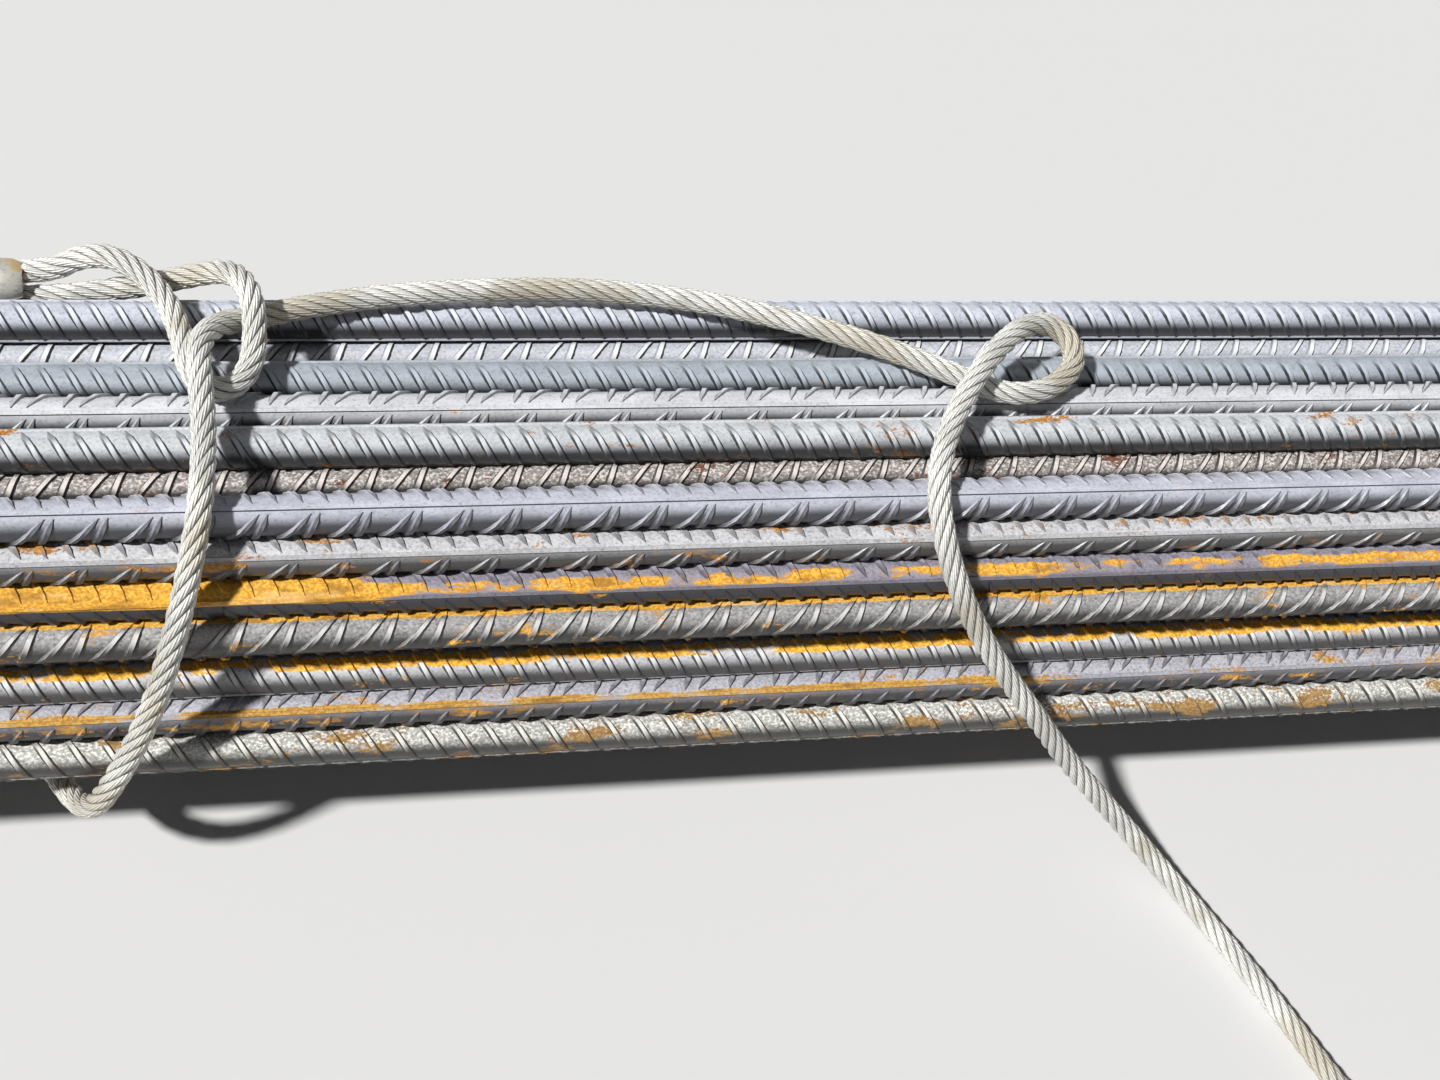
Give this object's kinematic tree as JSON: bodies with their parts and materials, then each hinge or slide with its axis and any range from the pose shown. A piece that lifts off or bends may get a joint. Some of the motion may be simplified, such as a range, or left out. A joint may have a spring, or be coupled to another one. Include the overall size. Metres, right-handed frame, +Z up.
{
  "type": "rebar bundle",
  "caption": "Bundle of ribbed steel reinforcing bars lying on two timber spacers, with two wire ties and a choked wire rope lifting sling round it.",
  "frame": {"origin": "middle of the bars' length and of the bundle's width, on the floor that the timber spacers stand on", "axes": "+X along the bars, -Y is the front that the picture shows, +Z up"},
  "size_m": [3.024, 0.6122, 0.2083],
  "materials": {
    "bar_steel": "hot-rolled blue-grey mill scale with patches of yellow-orange rust",
    "rope_steel": "dusty galvanised strands",
    "ferrule_alloy": "dull pressed aluminium, scuffed",
    "tie_steel": "annealed wire rod, brown with thin rust",
    "timber": "rough sawn pine"
  },
  "bodies": {
    "root": {"choke_eye": "rope_steel", "choke_ferrule": "ferrule_alloy", "row_1_back_bar": "bar_steel", "row_1_front_bar": "bar_steel", "row_1_inner_bars": "bar_steel", "row_2_back_bar": "bar_steel", "row_2_front_bar": "bar_steel", "row_2_inner_bars": "bar_steel", "row_3_back_bar": "bar_steel", "row_3_front_bar": "bar_steel", "row_3_inner_bars": "bar_steel", "row_4_back_bar": "bar_steel", "row_4_front_bar": "bar_steel", "row_4_inner_bars": "bar_steel", "row_5_back_bar": "bar_steel", "row_5_front_bar": "bar_steel", "row_5_inner_bars": "bar_steel", "row_6_back_bar": "bar_steel", "row_6_front_bar": "bar_steel", "row_6_inner_bars": "bar_steel", "row_7_back_bar": "bar_steel", "row_7_front_bar": "bar_steel", "row_7_inner_bars": "bar_steel", "row_8_bar_1": "bar_steel", "row_8_bar_2": "bar_steel", "row_8_bar_3": "bar_steel", "row_8_bar_4": "bar_steel", "row_8_bar_5": "bar_steel", "row_8_bar_6": "bar_steel", "row_8_bar_7": "bar_steel", "row_8_bar_8": "bar_steel", "row_9_bar_1": "bar_steel", "row_9_bar_2": "bar_steel", "row_9_bar_3": "bar_steel", "row_9_bar_4": "bar_steel", "row_9_bar_5": "bar_steel", "sling_rope": "rope_steel", "spacer_left": "timber", "spacer_right": "timber", "tail_eye": "rope_steel", "tail_ferrule": "ferrule_alloy", "tie_wire_left": "tie_steel", "tie_wire_right": "tie_steel"}
  },
  "joints": []
}
